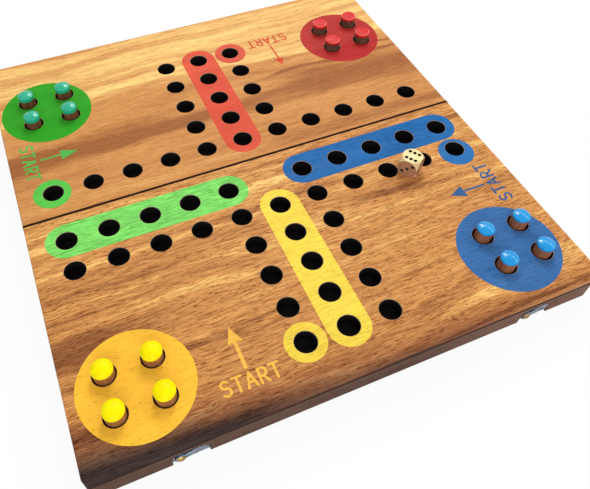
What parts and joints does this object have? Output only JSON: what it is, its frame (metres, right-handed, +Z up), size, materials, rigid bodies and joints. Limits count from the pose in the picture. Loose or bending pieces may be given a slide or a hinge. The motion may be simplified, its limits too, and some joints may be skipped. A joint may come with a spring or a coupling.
{
  "type": "folding ludo board box",
  "caption": "Folding wooden ludo board in two hinged hollow halves, drilled for pegs, with pegs, die, butt hinges and hook latches; it closes into a flat storage box.",
  "frame": {"origin": "on the ground under the middle of the seam, with the board open and flat", "axes": "+X to the right along the seam, +Y away from the near half, +Z up out of the playing surface"},
  "size_m": [0.282, 0.3012, 0.0353],
  "materials": {
    "board_wood": "clear satin lacquer over open-pored hardwood, with screen-printed colours",
    "rail_wood": "clear satin lacquer over darker hardwood",
    "panel_black": "black-stained thin plywood",
    "brass": "stamped, lightly polished",
    "steel_pin": "drawn wire",
    "nickel": "bright nickel plate",
    "yellow_peg": "brown dowel dipped in satin yellow paint",
    "blue_peg": "brown dowel dipped in gloss blue enamel",
    "green_peg": "brown dowel dipped in gloss green enamel",
    "red_peg": "brown dowel dipped in satin red paint",
    "die_wood": "pale wood, waxed, with black pips"
  },
  "bodies": {
    "front_half": {"front_playing_board": "board_wood", "front_backing_panel": "panel_black", "front_outer_rail": "rail_wood", "front_hinge_rail": "rail_wood", "front_left_rail": "rail_wood", "front_right_rail": "rail_wood", "left_hinge_front_leaf": "brass", "left_hinge_pin": "steel_pin", "right_hinge_front_leaf": "brass", "right_hinge_pin": "steel_pin", "front_hinge_screws": "brass", "left_latch_plate": "nickel", "left_latch_rivet": "brass", "right_latch_plate": "nickel", "right_latch_rivet": "brass"},
    "back_half": {"back_playing_board": "board_wood", "back_backing_panel": "panel_black", "back_outer_rail": "rail_wood", "back_hinge_rail": "rail_wood", "back_left_rail": "rail_wood", "back_right_rail": "rail_wood", "left_hinge_back_leaf": "brass", "right_hinge_back_leaf": "brass", "back_hinge_screws": "brass", "left_catch_stud": "nickel", "right_catch_stud": "nickel"},
    "left_hook": {"left_latch_hook": "nickel"},
    "right_hook": {"right_latch_hook": "nickel"},
    "yellow_peg_1": {"yellow_peg_1": "yellow_peg"},
    "yellow_peg_2": {"yellow_peg_2": "yellow_peg"},
    "yellow_peg_3": {"yellow_peg_3": "yellow_peg"},
    "yellow_peg_4": {"yellow_peg_4": "yellow_peg"},
    "blue_peg_1": {"blue_peg_1": "blue_peg"},
    "blue_peg_2": {"blue_peg_2": "blue_peg"},
    "blue_peg_3": {"blue_peg_3": "blue_peg"},
    "blue_peg_4": {"blue_peg_4": "blue_peg"},
    "green_peg_1": {"green_peg_1": "green_peg"},
    "green_peg_2": {"green_peg_2": "green_peg"},
    "green_peg_3": {"green_peg_3": "green_peg"},
    "green_peg_4": {"green_peg_4": "green_peg"},
    "red_peg_1": {"red_peg_1": "red_peg"},
    "red_peg_2": {"red_peg_2": "red_peg"},
    "red_peg_3": {"red_peg_3": "red_peg"},
    "red_peg_4": {"red_peg_4": "red_peg"},
    "die": {"die": "die_wood"}
  },
  "joints": [
    {"name": "fold", "type": "hinge", "parent": "front_half", "child": "back_half", "pos_m": [0, 0, 0.00125], "axis": [1, 0, 0], "range_deg": [-180, 0]},
    {"name": "left_hook_turn", "type": "hinge", "parent": "front_half", "child": "left_hook", "pos_m": [-0.098, -0.1489, 0.00575], "axis": [0, 1, 0], "range_deg": [0, 102]},
    {"name": "right_hook_turn", "type": "hinge", "parent": "front_half", "child": "right_hook", "pos_m": [0.098, -0.1489, 0.00575], "axis": [0, 1, 0], "range_deg": [0, 102]},
    {"name": "yellow_peg_1_lift", "type": "slide", "parent": "front_half", "child": "yellow_peg_1", "axis": [0, 0, 1], "range_m": [0, 0.025]},
    {"name": "yellow_peg_2_lift", "type": "slide", "parent": "front_half", "child": "yellow_peg_2", "axis": [0, 0, 1], "range_m": [0, 0.025]},
    {"name": "yellow_peg_3_lift", "type": "slide", "parent": "front_half", "child": "yellow_peg_3", "axis": [0, 0, 1], "range_m": [0, 0.025]},
    {"name": "yellow_peg_4_lift", "type": "slide", "parent": "front_half", "child": "yellow_peg_4", "axis": [0, 0, 1], "range_m": [0, 0.025]},
    {"name": "blue_peg_1_lift", "type": "slide", "parent": "front_half", "child": "blue_peg_1", "axis": [0, 0, 1], "range_m": [0, 0.025]},
    {"name": "blue_peg_2_lift", "type": "slide", "parent": "front_half", "child": "blue_peg_2", "axis": [0, 0, 1], "range_m": [0, 0.025]},
    {"name": "blue_peg_3_lift", "type": "slide", "parent": "front_half", "child": "blue_peg_3", "axis": [0, 0, 1], "range_m": [0, 0.025]},
    {"name": "blue_peg_4_lift", "type": "slide", "parent": "front_half", "child": "blue_peg_4", "axis": [0, 0, 1], "range_m": [0, 0.025]},
    {"name": "green_peg_1_lift", "type": "slide", "parent": "back_half", "child": "green_peg_1", "axis": [0, 0, 1], "range_m": [0, 0.025]},
    {"name": "green_peg_2_lift", "type": "slide", "parent": "back_half", "child": "green_peg_2", "axis": [0, 0, 1], "range_m": [0, 0.025]},
    {"name": "green_peg_3_lift", "type": "slide", "parent": "back_half", "child": "green_peg_3", "axis": [0, 0, 1], "range_m": [0, 0.025]},
    {"name": "green_peg_4_lift", "type": "slide", "parent": "back_half", "child": "green_peg_4", "axis": [0, 0, 1], "range_m": [0, 0.025]},
    {"name": "red_peg_1_lift", "type": "slide", "parent": "back_half", "child": "red_peg_1", "axis": [0, 0, 1], "range_m": [0, 0.025]},
    {"name": "red_peg_2_lift", "type": "slide", "parent": "back_half", "child": "red_peg_2", "axis": [0, 0, 1], "range_m": [0, 0.025]},
    {"name": "red_peg_3_lift", "type": "slide", "parent": "back_half", "child": "red_peg_3", "axis": [0, 0, 1], "range_m": [0, 0.025]},
    {"name": "red_peg_4_lift", "type": "slide", "parent": "back_half", "child": "red_peg_4", "axis": [0, 0, 1], "range_m": [0, 0.025]},
    {"name": "die_lift", "type": "slide", "parent": "front_half", "child": "die", "axis": [0, 0, 1], "range_m": [0, 0.03]}
  ]
}
